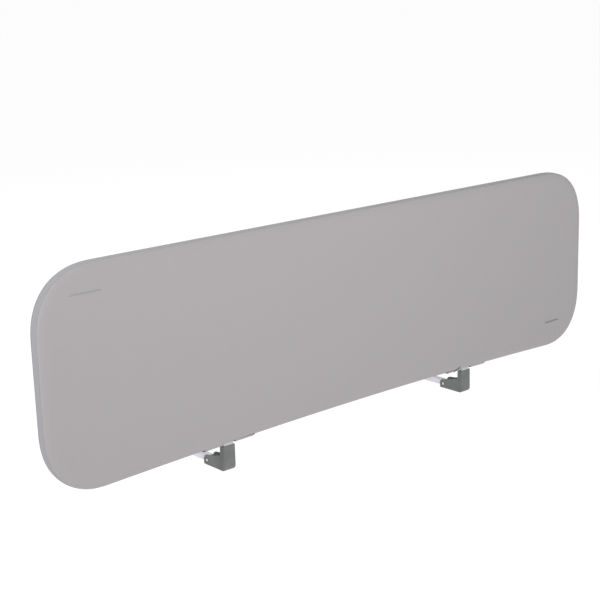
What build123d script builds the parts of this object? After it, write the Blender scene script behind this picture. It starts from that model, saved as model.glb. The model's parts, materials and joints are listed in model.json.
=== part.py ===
"""Fold-flat guard rail for the side of a bed: a fabric panel on a tube frame, two brackets, two under-mattress arms.

Millimetres, +Z up.  +X runs along the bed, -Y is the outer face of the panel, +Y runs under the mattress.
The origin is the middle of the footprint, on the plane that the bracket feet stand on.
"""
from build123d import *
import math
import os

# ---- driving dimensions -------------------------------------------------------------------------------------
PANEL_WIDTH = 1500.0
PANEL_HEIGHT = 421.0
PANEL_THICKNESS = 28.0
PANEL_LIFT = 50.0            # lowest point of the cover above the feet
TOP_CORNER_R = 118.0
BOTTOM_CORNER_R = 111.0
HEM_ARCH = 12.1              # rise of the bottom edge in the middle of the panel
FABRIC = 1.2                 # cover cloth, with its thin foam backing
EASE = 0.3                   # gap between the cover and the frame inside it

TUBE_D = 25.0                # bent frame tube
TUBE_WALL = 1.2
CROSS_TUBE_D = 16.0
LEG_RISE = 7.2               # rise of each bottom leg from its corner to its housing
LEG_FLAT = 39.0              # level end of each bottom leg, at the housing
LEG_BEND_R = 250.0           # gentle bend where the level end starts

BRACKET_X = 343.5            # distance of each bracket from the middle of the panel
BRACKET_WIDTH = 28.0
FOOT_LENGTH = 69.0
POST_DEPTH = 14.3
POST_TOP = 53.0
CHEEK = 3.6
CHANNEL_FLOOR = 4.2          # thickness of the foot under the arm, which is the arm's stop

PIVOT_Y = 59.3               # rivet, behind the front face of the post
PIVOT_Z = 10.0
ARM_WIDTH = 19.0
ARM_DEPTH = 11.0
ARM_WALL = 1.2
ARM_REACH = 364.0            # from the panel's front face to the far end of an arm

RIVET_R = 2.5
RUNNING_GAP = 0.05           # radial gap between the rivet and the nose it carries

# ---- places worked out from them -----------------------------------------------------------------------------
FRONT_Y = -ARM_REACH / 2                       # outer face of the cover
MID_Y = FRONT_Y + PANEL_THICKNESS / 2          # plane of the frame tubes
BACK_Y = FRONT_Y + PANEL_THICKNESS
TOP_Z = PANEL_LIFT + PANEL_HEIGHT
HALF_W = PANEL_WIDTH / 2
TUBE_R = TUBE_D / 2
TUBE_INSET = FABRIC + EASE + TUBE_R            # cover's edge to the tube's centre line
POST_FRONT_Y = FRONT_Y + 4.0
POST_BACK_Y = POST_FRONT_Y + POST_DEPTH
HINGE_Y = POST_FRONT_Y + PIVOT_Y
ARM_LOW_Z = PIVOT_Z - ARM_DEPTH / 2
ARM_TOP_Z = PIVOT_Z + ARM_DEPTH / 2
ARM_END_Y = -FRONT_Y

HOUSING_HALF_LENGTH = 67.0
HOUSING_IN_X = BRACKET_X - HOUSING_HALF_LENGTH
HOUSING_OUT_X = BRACKET_X + HOUSING_HALF_LENGTH
HOUSING_LOW_Z = 61.4
HOUSING_TOP_Z = 98.0
HOUSING_HALF_Y = 11.4
LEG_Z = PANEL_LIFT + TUBE_INSET + LEG_RISE
CROSS_Z = 76.0
SPIGOT_R = TUBE_R - TUBE_WALL - 0.1
SPIGOT_LENGTH = 24.0
SOCKET_DEPTH = 25.0
SOCKET_PLAY = 0.5            # left between the cross tube's end and the bottom of its socket

SPINE_WIDTH = 24.0
SPINE_DEPTH = 11.6
SPINE_WALL = 1.5
SPINE_CORNER_R = 2.0
SPINE_LOW_Z = 20.0
SPINE_TOP_Z = 92.0
SPINE_Y = POST_FRONT_Y + POST_DEPTH / 2

SIDES = {"left": -1, "right": 1}

os.makedirs("parts", exist_ok=True)


def save(shape, node):
    """Write one node to its own STEP file."""
    export_step(shape, f"parts/{node}.step")


def group(solids):
    """Several separate solids kept as one node."""
    return Compound(children=list(solids))


# ---- small building blocks -----------------------------------------------------------------------------------
def block(x0, x1, y0, y1, z0, z1):
    """Box between two corners."""
    return Pos((x0 + x1) / 2, (y0 + y1) / 2, (z0 + z1) / 2) * Box(x1 - x0, y1 - y0, z1 - z0)


def rod_x(radius, x0, x1, y, z):
    """Cylinder along X."""
    return Pos((x0 + x1) / 2, y, z) * Rot(0, 90, 0) * Cylinder(radius, x1 - x0)


def rod_y(radius, x, y0, y1, z):
    """Cylinder along Y."""
    return Pos(x, (y0 + y1) / 2, z) * Rot(90, 0, 0) * Cylinder(radius, y1 - y0)


def rod_z(radius, x, y, z0, z1):
    """Cylinder along Z."""
    return Pos(x, y, (z0 + z1) / 2) * Cylinder(radius, z1 - z0)


def slab_xz(face, y0, y1):
    """Plate with a face drawn in X and Z, from y0 back to y1."""
    seat = Plane(origin=(0, y0, 0), x_dir=(1, 0, 0), z_dir=(0, -1, 0))
    return extrude(seat * face, y1 - y0, dir=(0, 1, 0))


def slab_yz(face, x0, x1):
    """Plate with a face drawn in Y and Z, from x0 to x1."""
    seat = Plane(origin=(x0, 0, 0), x_dir=(0, 1, 0), z_dir=(1, 0, 0))
    return extrude(seat * face, x1 - x0, dir=(1, 0, 0))


def slab_xy(face, z0, z1):
    """Plate with a face drawn in X and Y, from z0 up to z1."""
    return extrude(Plane(origin=(0, 0, z0)) * face, z1 - z0, dir=(0, 0, 1))


def tube_along(path, radius, wall):
    """Round tube swept along a path."""
    start = path @ 0
    seat = Plane(origin=start, z_dir=path % 0)
    ring = seat * (Circle(radius) - Circle(radius - wall))
    return sweep(ring, path=path)


# ---- fabric cover --------------------------------------------------------------------------------------------
def hem_z(x):
    """Height of the cover's bottom edge."""
    run = HALF_W - BOTTOM_CORNER_R
    return PANEL_LIFT + HEM_ARCH * (1 - (x / run) ** 2)


def cover_outline(inset=0.0):
    """Outline of the cover seen from the front, moved in by inset."""
    half = HALF_W - inset
    top, low = TOP_Z - inset, PANEL_LIFT + inset
    top_r, low_r = TOP_CORNER_R - inset, BOTTOM_CORNER_R - inset
    top_x, low_x = half - top_r, half - low_r
    edges = [
        Line((-top_x, top), (top_x, top)),
        CenterArc((top_x, top - top_r), top_r, 90, -90),
        Line((half, top - top_r), (half, low + low_r)),
        CenterArc((low_x, low + low_r), low_r, 0, -90),
        ThreePointArc((low_x, low), (0, low + HEM_ARCH), (-low_x, low)),
        CenterArc((-low_x, low + low_r), low_r, 270, -90),
        Line((-half, low + low_r), (-half, top - top_r)),
        CenterArc((-top_x, top - top_r), top_r, 180, -90),
    ]
    return Face(Wire(edges))


def cover_ring(outer_inset, inner_inset, y0, y1):
    """Band that follows the outline between two insets."""
    return slab_xz(cover_outline(outer_inset), y0, y1) - slab_xz(cover_outline(inner_inset), y0, y1)


POST_SLOT_HALF = BRACKET_WIDTH / 2 + 1.0
BINDING_WIDTH = 2.4
BINDING = 1.2


def build_cover():
    """Front, back, gusset and the binding inside each seam."""
    save(slab_xz(cover_outline(), FRONT_Y, FRONT_Y + FABRIC), "cover_front")
    save(slab_xz(cover_outline(), BACK_Y - FABRIC, BACK_Y), "cover_back")
    gusset = cover_ring(0.0, FABRIC, FRONT_Y + FABRIC, BACK_Y - FABRIC)
    for side in SIDES.values():
        x = side * BRACKET_X
        gusset -= block(x - POST_SLOT_HALF, x + POST_SLOT_HALF, POST_FRONT_Y - 1, POST_BACK_Y + 1, 40, 80)
    save(gusset, "cover_gusset")
    front = FRONT_Y + FABRIC
    back = BACK_Y - FABRIC
    inner = FABRIC + BINDING_WIDTH
    save(cover_ring(FABRIC, inner, front, front + BINDING), "front_seam_binding")
    save(cover_ring(FABRIC, inner, back - BINDING, back), "back_seam_binding")


TAPE = 1.1
TAPE_GAP = 0.1
TAPE_END = 65.5              # half length of the touch tape, past the end of the flap
FLAP_HALF = 60.0
FLAP_HALF_Y = 12.6
TAPE_HALF_Y = 9.0


def sole_strip(side, half_length, half_y, drop, thickness):
    """Strip that lies under the hem around one post and follows its arch."""
    low_x = BRACKET_X - half_length
    high_x = BRACKET_X + half_length
    upper = [(side * x, hem_z(x) - drop) for x in (low_x, BRACKET_X, high_x)]
    lower = [(x, z - thickness) for x, z in upper]
    edges = [
        ThreePointArc(*upper),
        Line(upper[2], lower[2]),
        ThreePointArc(*reversed(lower)),
        Line(lower[0], upper[0]),
    ]
    strip = slab_xz(Face(Wire(edges)), MID_Y - half_y, MID_Y + half_y)
    x = side * BRACKET_X
    return strip - block(x - POST_SLOT_HALF, x + POST_SLOT_HALF, POST_FRONT_Y - 1, POST_BACK_Y + 1, 40, 80)


def build_flap(name, side):
    """Flap that closes the cover round a post, and the touch tape that holds it."""
    save(sole_strip(side, TAPE_END, TAPE_HALF_Y, TAPE_GAP, TAPE), f"{name}_touch_tape")
    drop = 2 * TAPE_GAP + TAPE
    save(sole_strip(side, FLAP_HALF, FLAP_HALF_Y, drop, FABRIC), f"{name}_cover_flap")


# ---- tube frame ----------------------------------------------------------------------------------------------
COUPLER_HALF = 60.0
COUPLER_WALL = 1.2
COUPLER_SCREW_X = (20.0, 45.0)
CROSS_WALL = 1.0
SLIP = 0.1                   # clearance of a part that slides into another
TUBE_JOINT_HALF = 0.4        # half of the gap where the two frame tubes meet on top
HOUSING_BUTT = 0.3           # gap between a leg's end and its housing
LEG_SCREW_X = 12.0           # leg screw, from the housing's outer end
SMALL_SCREW_R = 2.0
SMALL_HEAD_R = 3.6
SMALL_HEAD_H = 2.2
SCREW_SLACK = 0.05
COUPLER_SCREW_LENGTH = 8.0
LEG_SCREW_LENGTH = 9.5
HEAD_ROUND = 0.55            # rounding of a screw head and depth of its socket, as a share of its height
HEX_SHARE = 0.72             # socket's corner radius as a share of the shank's radius


def frame_path(side):
    """Centre line of one half of the frame, from the top middle round to its housing."""
    x_out = HALF_W - TUBE_INSET
    z_top = TOP_Z - TUBE_INSET
    z_corner = PANEL_LIFT + TUBE_INSET
    bend_x = HALF_W - BOTTOM_CORNER_R
    flat_x = HOUSING_OUT_X + LEG_FLAT
    slope = LEG_RISE / (bend_x - flat_x)
    z_out = z_corner - slope * (x_out - bend_x)
    points = [
        (side * TUBE_JOINT_HALF, MID_Y, z_top),
        (side * x_out, MID_Y, z_top),
        (side * x_out, MID_Y, z_out),
        (side * flat_x, MID_Y, LEG_Z),
        (side * (HOUSING_OUT_X + HOUSING_BUTT), MID_Y, LEG_Z),
    ]
    radii = [TOP_CORNER_R - TUBE_INSET, BOTTOM_CORNER_R - TUBE_INSET, LEG_BEND_R]
    return FilletPolyline(*points, radius=radii)


def button_screw(radius, head_r, head_h, length):
    """Screw at the origin, head above Z = 0, shank below, with a hexagon socket."""
    shank = Pos(0, 0, -length / 2) * Cylinder(radius, length)
    head = Pos(0, 0, head_h / 2) * Cylinder(head_r, head_h)
    head = fillet(head.edges().sort_by(Axis.Z)[-1], head_h * HEAD_ROUND)
    socket = Pos(0, 0, head_h) * extrude(RegularPolygon(radius * HEX_SHARE, 6), -head_h * HEAD_ROUND)
    return head + shank - socket


def build_frame():
    """Two bent tubes, the coupler that joins them on top, and the cross tube between the housings."""
    z_top = TOP_Z - TUBE_INSET
    places = [s * x for s in SIDES.values() for x in COUPLER_SCREW_X]
    hole = SMALL_SCREW_R + SCREW_SLACK
    holes = [rod_z(hole, x, MID_Y, z_top - TUBE_R - 2, z_top) for x in places]
    for name, side in SIDES.items():
        tube = tube_along(frame_path(side), TUBE_R, TUBE_WALL)
        leg_hole = rod_z(hole, side * (HOUSING_OUT_X + LEG_SCREW_X), MID_Y, LEG_Z, LEG_Z + TUBE_R + 2)
        for cut in holes + [leg_hole]:
            tube -= cut
        save(tube, f"{name}_frame_tube")
    outer = TUBE_R - TUBE_WALL - SLIP
    coupler = rod_x(outer, -COUPLER_HALF, COUPLER_HALF, MID_Y, z_top)
    coupler -= rod_x(outer - COUPLER_WALL, -COUPLER_HALF, COUPLER_HALF, MID_Y, z_top)
    for cut in holes:
        coupler -= cut
    save(coupler, "top_coupler_tube")
    screw = Rot(180, 0, 0) * button_screw(SMALL_SCREW_R, SMALL_HEAD_R, SMALL_HEAD_H, COUPLER_SCREW_LENGTH)
    save(group(Pos(x, MID_Y, z_top - TUBE_R) * screw for x in places), "top_coupler_screws")
    reach = HOUSING_IN_X + SOCKET_DEPTH - SOCKET_PLAY
    cross = rod_x(CROSS_TUBE_D / 2, -reach, reach, MID_Y, CROSS_Z)
    cross -= rod_x(CROSS_TUBE_D / 2 - CROSS_WALL, -reach, reach, MID_Y, CROSS_Z)
    save(cross, "lower_cross_tube")


# ---- housings ------------------------------------------------------------------------------------------------
HOUSING_SCREWS = ((-53.5, 91.5), (-25.5, 68.0), (26.5, 68.0), (54.5, 91.5))   # x towards the outside, z
SPINE_SCREW_Z = (70.0, 84.0)
POST_SCREW_Z = 45.0
BIG_SCREW_R = 2.45
BIG_HEAD_R = 4.5
HEAD_R = 4.0
HEAD_H = 2.4
HEAD_SINK = 0.2              # how far a housing screw's head lies under the back face
HOUSING_SCREW_LENGTH = 18.0
PILOT_HALF_Y = 9.6           # depth of the pilot holes in the front half
THREAD_BITE = 6.0            # how far a spine screw reaches into its tube
PARTING = 0.05               # half of the gap between the two halves
HOUSING_CORNER_R = 5.0
RIB_POCKETS = ((-37.0, -16.0), (17.0, 48.0))   # hollows that lighten a housing, x towards the outside
POCKET_HALF_Y = 8.5
POCKET_Z = (76.0, 90.0)
SPIGOT_ROOT = 8.0            # how far a spigot starts inside its housing


def housing_body(side):
    """Both halves of a housing in one solid, with its sockets and pockets cut."""
    x = side * BRACKET_X
    outline = Pos(x, (HOUSING_LOW_Z + HOUSING_TOP_Z) / 2) * RectangleRounded(
        2 * HOUSING_HALF_LENGTH, HOUSING_TOP_Z - HOUSING_LOW_Z, HOUSING_CORNER_R)
    body = slab_xz(outline, MID_Y - HOUSING_HALF_Y, MID_Y + HOUSING_HALF_Y)
    out_x = side * HOUSING_OUT_X
    tip_x = side * (HOUSING_OUT_X + SPIGOT_LENGTH)
    root_x = side * (HOUSING_OUT_X - SPIGOT_ROOT)
    body += rod_x(SPIGOT_R, min(root_x, tip_x), max(root_x, tip_x), MID_Y, LEG_Z)
    in_x = side * HOUSING_IN_X
    deep_x = side * (HOUSING_IN_X + SOCKET_DEPTH)
    body -= rod_x(CROSS_TUBE_D / 2 + SLIP, min(in_x, deep_x), max(in_x, deep_x), MID_Y, CROSS_Z)
    spine_hole = Pos(x, SPINE_Y) * Rectangle(SPINE_WIDTH + 2 * SLIP, SPINE_DEPTH + 2 * SLIP)
    body -= slab_xy(spine_hole, HOUSING_LOW_Z - 5, SPINE_TOP_Z + 2 * SLIP)
    for u0, u1 in RIB_POCKETS:
        a, b = sorted((x + side * u0, x + side * u1))
        body -= block(a, b, MID_Y - POCKET_HALF_Y, MID_Y + POCKET_HALF_Y, *POCKET_Z)
    leg_screw = rod_z(SMALL_SCREW_R, out_x + side * LEG_SCREW_X, MID_Y, LEG_Z + 2, LEG_Z + TUBE_R + 2)
    return body - leg_screw


def build_housing(name, side):
    """Front half, back half and the screws of one housing."""
    x = side * BRACKET_X
    body = housing_body(side)
    reach = HOUSING_OUT_X + 60
    front_box = block(-reach, reach, FRONT_Y, MID_Y - PARTING, PANEL_LIFT, TOP_Z)
    back_box = block(-reach, reach, MID_Y + PARTING, BACK_Y, PANEL_LIFT, TOP_Z)
    front, back = body & front_box, body & back_box
    back_face = MID_Y + HOUSING_HALF_Y
    seat = back_face - HEAD_H - HEAD_SINK
    screws = []
    facing_back = Rot(-90, 0, 0)
    for u, z in HOUSING_SCREWS:
        px = x + side * u
        front -= rod_y(SMALL_SCREW_R + SCREW_SLACK, px, MID_Y - PILOT_HALF_Y, MID_Y, z)
        back -= rod_y(SMALL_SCREW_R + SCREW_SLACK, px, MID_Y, back_face, z)
        back -= rod_y(HEAD_R + SLIP, px, seat, back_face + 1, z)
        screw = button_screw(SMALL_SCREW_R, HEAD_R, HEAD_H, HOUSING_SCREW_LENGTH)
        screws.append(Pos(px, seat, z) * facing_back * screw)
    leg_x = side * (HOUSING_OUT_X + LEG_SCREW_X)
    leg_screw = button_screw(SMALL_SCREW_R - SCREW_SLACK, SMALL_HEAD_R, SMALL_HEAD_H, LEG_SCREW_LENGTH)
    screws.append(Pos(leg_x, MID_Y, LEG_Z + TUBE_R) * leg_screw)
    save(group(screws), f"{name}_housing_screws")
    spine_screws = []
    spine_back = SPINE_Y + SPINE_DEPTH / 2
    spine_screw = button_screw(BIG_SCREW_R, BIG_HEAD_R, HEAD_H, seat - spine_back + THREAD_BITE)
    for z in SPINE_SCREW_Z:
        back -= rod_y(BIG_SCREW_R + SCREW_SLACK, x, spine_back, back_face, z)
        back -= rod_y(BIG_HEAD_R + SLIP, x, seat, back_face + 1, z)
        spine_screws.append(Pos(x, seat, z) * facing_back * spine_screw)
    post_screw = button_screw(BIG_SCREW_R, BIG_HEAD_R, HEAD_H, POST_BACK_Y - spine_back + THREAD_BITE)
    spine_screws.append(Pos(x, POST_BACK_Y, POST_SCREW_Z) * facing_back * post_screw)
    save(group(spine_screws), f"{name}_spine_screws")
    save(front, f"{name}_housing_front")
    save(back, f"{name}_housing_back")
    build_spine(name, x)


def build_spine(name, x):
    """Flat steel tube that joins the bracket to its housing."""
    outer = Pos(x, SPINE_Y) * RectangleRounded(SPINE_WIDTH, SPINE_DEPTH, SPINE_CORNER_R)
    inner = Pos(x, SPINE_Y) * RectangleRounded(
        SPINE_WIDTH - 2 * SPINE_WALL, SPINE_DEPTH - 2 * SPINE_WALL, SPINE_CORNER_R - SPINE_WALL + SLIP)
    spine = slab_xy(outer - inner, SPINE_LOW_Z, SPINE_TOP_Z)
    for z in SPINE_SCREW_Z + (POST_SCREW_Z,):
        spine -= rod_y(BIG_SCREW_R + SCREW_SLACK, x, SPINE_Y, SPINE_Y + SPINE_DEPTH, z)
    save(spine, f"{name}_spine_tube")


# ---- brackets ------------------------------------------------------------------------------------------------
FOOT_TOP_END = 20.0
FOOT_TOP_MID = 22.5
FOOT_TOP_ROOT = 31.0
RECESS_R = 5.8
RECESS_DEPTH = 1.5
RIVET_HEAD_R = 3.6
RIVET_HEAD_ROUND = 0.9
WASHER_R = 5.2
WASHER = 0.5
RIM_ROUND = 1.5              # rounding of the bracket's outer rims
CHANNEL_ROOT = 5.0           # from the post's back to the closed end of the channel
CHANNEL_ROOT_R = 3.0
MOULDED_TOP_R = 0.8


def bracket_profile():
    """Side view of a bracket: foot, back-swept cheeks and post, in Y and Z."""
    y0, y1 = POST_FRONT_Y, POST_FRONT_Y + FOOT_LENGTH
    corners = [
        (y0, 0.0, 9.0),
        (y1, 0.0, 2.5),
        (y1, FOOT_TOP_END, 10.0),
        (y0 + 44.0, FOOT_TOP_MID, 40.0),
        (POST_BACK_Y, FOOT_TOP_ROOT, 8.0),
        (POST_BACK_Y, POST_TOP, MOULDED_TOP_R),
        (y0, POST_TOP, MOULDED_TOP_R),
    ]
    points = [(y, z) for y, z, _ in corners]
    path = FilletPolyline(*points, radius=[r for _, _, r in corners], close=True)
    return Face(Wire(path.edges()))


def build_bracket(name, side):
    """Moulded L bracket: post, foot, and the channel that the arm folds in."""
    x = side * BRACKET_X
    half = BRACKET_WIDTH / 2
    body = slab_yz(bracket_profile(), x - half, x + half)
    rims = body.edges().group_by(Axis.X)
    body = fillet(rims[0] + rims[-1], RIM_ROUND)
    inner = half - CHEEK
    y_root = POST_BACK_Y + CHANNEL_ROOT
    channel = block(x - inner, x + inner, y_root, POST_FRONT_Y + FOOT_LENGTH + 5, CHANNEL_FLOOR, 60)
    root_edges = channel.edges().filter_by(Axis.Z).group_by(Axis.Y)[0]
    channel = fillet(root_edges, CHANNEL_ROOT_R)
    body -= channel
    socket_size = (SPINE_WIDTH + 2 * SLIP, SPINE_DEPTH + 2 * SLIP)
    socket = Pos(x, SPINE_Y) * RectangleRounded(*socket_size, SPINE_CORNER_R)
    body -= slab_xy(socket, SPINE_LOW_Z - 2 * SLIP, POST_TOP + 5)
    body -= rod_x(RIVET_R, x - half - 1, x + half + 1, HINGE_Y, PIVOT_Z)
    for way in (-1, 1):
        a, b = sorted((x + way * (half - RECESS_DEPTH), x + way * (half + 1)))
        body -= rod_x(RECESS_R, a, b, HINGE_Y, PIVOT_Z)
    body -= rod_y(BIG_SCREW_R + SCREW_SLACK, x, SPINE_Y, POST_BACK_Y + 1, POST_SCREW_Z)
    save(body, f"{name}_bracket")


def build_hinge(name, side):
    """Rivet through both cheeks and the two washers beside the arm."""
    x = side * BRACKET_X
    half = BRACKET_WIDTH / 2
    head_in = half - RECESS_DEPTH
    rivet = rod_x(RIVET_R, x - head_in, x + head_in, HINGE_Y, PIVOT_Z)
    for way in (-1, 1):
        a, b = sorted((x + way * head_in, x + way * (half - SLIP)))
        head = rod_x(RIVET_HEAD_R, a, b, HINGE_Y, PIVOT_Z)
        outer_rim = head.edges().filter_by(GeomType.CIRCLE).sort_by(Axis.X)[-1 if way > 0 else 0]
        rivet += fillet(outer_rim, RIVET_HEAD_ROUND)
    save(rivet, f"{name}_hinge_rivet")
    washers = []
    for way in (-1, 1):
        face = half - CHEEK - RUNNING_GAP
        a, b = sorted((x + way * (face - WASHER), x + way * face))
        bore = rod_x(RIVET_R + RUNNING_GAP, a, b, HINGE_Y, PIVOT_Z)
        washers.append(rod_x(WASHER_R, a, b, HINGE_Y, PIVOT_Z) - bore)
    save(group(washers), f"{name}_hinge_washers")


# ---- arms ----------------------------------------------------------------------------------------------------
NOSE_LENGTH = 32.0           # how far the nose insert reaches into the tube
CAP_LENGTH = 14.0
CAP_PLUG = 14.0
SOLE_Y0 = 76.0               # sole's start, back from the arm's end
SOLE_Y1 = 22.0
SOLE_THICKNESS = ARM_LOW_Z - 0.05
NOSE_GAP = 0.5               # from the round of the nose to the start of the tube
NOSE_PIN_R = 1.55
PIN_SINK = 0.3               # how far each end of the nose pin lies under the tube's surface
NOSE_PIN_Y = 20.0            # nose pin, from the start of the tube
TUBE_CORNER_R = 2.2
PLUG_ROUND = 1.0
CAP_CORNER_R = 6.0
CAP_ROUND = 1.2
SOLE_STUD_R = 1.9
SOLE_STUD_INSET = 12.0       # sole stud, from each end of the sole
SOLE_GROOVES = 6
GROOVE_HALF = 0.8
GROOVE_DEPTH = 1.0


def build_arm(name, side):
    """One arm: steel tube, hinge nose, end cap and rubber sole."""
    x = side * BRACKET_X
    tube_y0 = HINGE_Y + ARM_DEPTH / 2 + NOSE_GAP
    tube_y1 = ARM_END_Y - CAP_LENGTH
    seat = Plane(origin=(x, tube_y0, PIVOT_Z), x_dir=(1, 0, 0), z_dir=(0, 1, 0))
    outer = RectangleRounded(ARM_WIDTH, ARM_DEPTH, TUBE_CORNER_R)
    inner = RectangleRounded(ARM_WIDTH - 2 * ARM_WALL, ARM_DEPTH - 2 * ARM_WALL, TUBE_CORNER_R - PLUG_ROUND)
    tube = extrude(seat * (outer - inner), tube_y1 - tube_y0)
    pin_y = tube_y0 + NOSE_PIN_Y
    pin_hole = NOSE_PIN_R + SCREW_SLACK
    tube -= rod_z(pin_hole, x, pin_y, ARM_LOW_Z - 1, ARM_TOP_Z + 1)
    sole_hole_y = [ARM_END_Y - SOLE_Y0 + SOLE_STUD_INSET, ARM_END_Y - SOLE_Y1 - SOLE_STUD_INSET]
    for y in sole_hole_y:
        tube -= rod_z(SOLE_STUD_R + SLIP, x, y, ARM_LOW_Z - 1, PIVOT_Z)
    save(tube, f"{name}_arm_tube")

    nose = rod_x(ARM_DEPTH / 2, x - ARM_WIDTH / 2, x + ARM_WIDTH / 2, HINGE_Y, PIVOT_Z)
    nose += block(x - ARM_WIDTH / 2, x + ARM_WIDTH / 2, HINGE_Y, tube_y0 - SCREW_SLACK, ARM_LOW_Z, ARM_TOP_Z)
    nose = fillet(nose.edges().group_by(Axis.X)[0] + nose.edges().group_by(Axis.X)[-1], MOULDED_TOP_R)
    plug_w = ARM_WIDTH / 2 - ARM_WALL - SLIP
    plug_h = ARM_DEPTH / 2 - ARM_WALL - SLIP
    plug = block(x - plug_w, x + plug_w, tube_y0 - 1, tube_y0 + NOSE_LENGTH, PIVOT_Z - plug_h, PIVOT_Z + plug_h)
    nose += fillet(plug.edges().filter_by(Axis.Y), PLUG_ROUND)
    nose -= rod_x(RIVET_R + RUNNING_GAP, x - ARM_WIDTH, x + ARM_WIDTH, HINGE_Y, PIVOT_Z)
    nose -= rod_z(pin_hole, x, pin_y, ARM_LOW_Z, ARM_TOP_Z)
    save(nose, f"{name}_arm_nose")
    save(rod_z(NOSE_PIN_R, x, pin_y, ARM_LOW_Z + PIN_SINK, ARM_TOP_Z - PIN_SINK), f"{name}_nose_pin")

    cap = block(x - ARM_WIDTH / 2, x + ARM_WIDTH / 2, tube_y1 + SCREW_SLACK, ARM_END_Y, ARM_LOW_Z, ARM_TOP_Z)
    cap = fillet(cap.edges().filter_by(Axis.Z).group_by(Axis.Y)[-1], CAP_CORNER_R)
    cap = fillet(cap.edges().group_by(Axis.Z)[-1] + cap.edges().group_by(Axis.Z)[0], CAP_ROUND)
    cap_plug = block(x - plug_w, x + plug_w, tube_y1 - CAP_PLUG, tube_y1 + 1, PIVOT_Z - plug_h, PIVOT_Z + plug_h)
    cap += fillet(cap_plug.edges().filter_by(Axis.Y), PLUG_ROUND)
    save(cap, f"{name}_arm_end_cap")

    half = ARM_WIDTH / 2 - 0.5
    sole = block(x - half, x + half, ARM_END_Y - SOLE_Y0, ARM_END_Y - SOLE_Y1, 0.0, SOLE_THICKNESS)
    sole = fillet(sole.edges().filter_by(Axis.Z), 3.0)
    groove_pitch = (SOLE_Y0 - SOLE_Y1) / (SOLE_GROOVES + 1)
    for i in range(SOLE_GROOVES):
        y = ARM_END_Y - SOLE_Y0 + groove_pitch * (i + 1)
        sole -= block(x - half - 1, x + half + 1, y - GROOVE_HALF, y + GROOVE_HALF, -1, GROOVE_DEPTH)
    for y in sole_hole_y:
        sole += rod_z(SOLE_STUD_R, x, y, SOLE_THICKNESS - 1, ARM_LOW_Z + 3.0)
    save(sole, f"{name}_arm_sole")


build_cover()
build_frame()
for side_name, side_sign in SIDES.items():
    build_flap(side_name, side_sign)
    build_housing(side_name, side_sign)
    build_bracket(side_name, side_sign)
    build_hinge(side_name, side_sign)
    build_arm(side_name, side_sign)
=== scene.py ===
"""Looks of a fold-flat bed guard rail: sewn cover, moulded brackets and coated arms round the CAD frame.

Metres, +Z up, in the frame of the CAD model.  The outer face of the panel looks to -Y, and the arms run to +Y
under the mattress.
"""
import json
import logging
import math
from dataclasses import dataclass
from enum import Enum

import bpy
import numpy as np
from mathutils import Matrix, Vector, noise


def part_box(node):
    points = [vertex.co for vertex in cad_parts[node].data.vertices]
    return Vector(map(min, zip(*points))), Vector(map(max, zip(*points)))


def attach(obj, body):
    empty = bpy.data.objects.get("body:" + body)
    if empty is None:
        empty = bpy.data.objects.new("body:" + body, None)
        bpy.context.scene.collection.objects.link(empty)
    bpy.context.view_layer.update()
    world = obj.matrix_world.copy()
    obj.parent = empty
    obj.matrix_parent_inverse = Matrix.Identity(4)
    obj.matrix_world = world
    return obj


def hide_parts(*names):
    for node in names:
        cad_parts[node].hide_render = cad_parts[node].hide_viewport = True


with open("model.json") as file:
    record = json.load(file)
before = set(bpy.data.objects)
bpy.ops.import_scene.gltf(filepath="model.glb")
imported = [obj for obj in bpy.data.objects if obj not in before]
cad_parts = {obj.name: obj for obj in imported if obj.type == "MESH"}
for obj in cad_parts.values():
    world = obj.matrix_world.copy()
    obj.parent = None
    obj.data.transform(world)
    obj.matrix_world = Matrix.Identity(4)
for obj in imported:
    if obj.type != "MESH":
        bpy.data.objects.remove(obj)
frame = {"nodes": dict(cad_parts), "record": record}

LOG = logging.getLogger("guard_rail")
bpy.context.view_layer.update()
PANEL_BODY = "panel"          # every new piece rides on the panel; the arms are CAD nodes on their own bodies
CUT_MAP = "Cut"               # UV map of a cloth piece, in metres along warp and weft
POST_WALL = 0.0014            # bracket's wall behind the spine
SLOT_EASE = 0.001             # room round a post in the cloth
WAVE_PER_UNIT = math.pi / 10  # Wave Texture scale that gives one thread and its gap in each unit

Colour = tuple[float, float, float]


class Slot(Enum):
    """Material slots of the record."""

    COVER = "cover_cloth"
    GUSSET = "gusset_cloth"
    BINDING = "binding_tape"
    TAPE = "touch_tape_nylon"
    FRAME_TUBE = "frame_tube_steel"
    SPINE = "spine_paint"
    ARM = "arm_paint"
    ZINC = "zinc_steel"
    RIVET = "rivet_steel"
    BRACKET = "bracket_plastic"
    HOUSING = "housing_plastic"
    NYLON = "nylon"
    SOLE = "sole_rubber"


class Side(Enum):
    """Which bracket and arm, and its direction along X."""

    LEFT = -1
    RIGHT = 1

    @property
    def word(self) -> str:
        """Prefix of this side's node names."""
        return self.name.lower()


# ---- finishes ---------------------------------------------------------------------------------------------
def blank_material(name: str) -> bpy.types.Material:
    """Make a material with an empty node tree.

    Args:
        name: Name of the material.

    Returns:
        The material, for its finish to fill.
    """
    mat = bpy.data.materials.new(name)
    mat.use_nodes = True
    mat.node_tree.nodes.clear()
    return mat


def lay_out(tree: bpy.types.NodeTree) -> None:
    """Place a material's nodes in rows of seven, in the order they were made.

    Args:
        tree: The node tree to set out.
    """
    loose = [node for node in tree.nodes if node.type != "FRAME"]
    for place, node in enumerate(loose):
        node.location = (-1500 + 230 * (place % 7), 300 - 320 * (place // 7))


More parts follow.
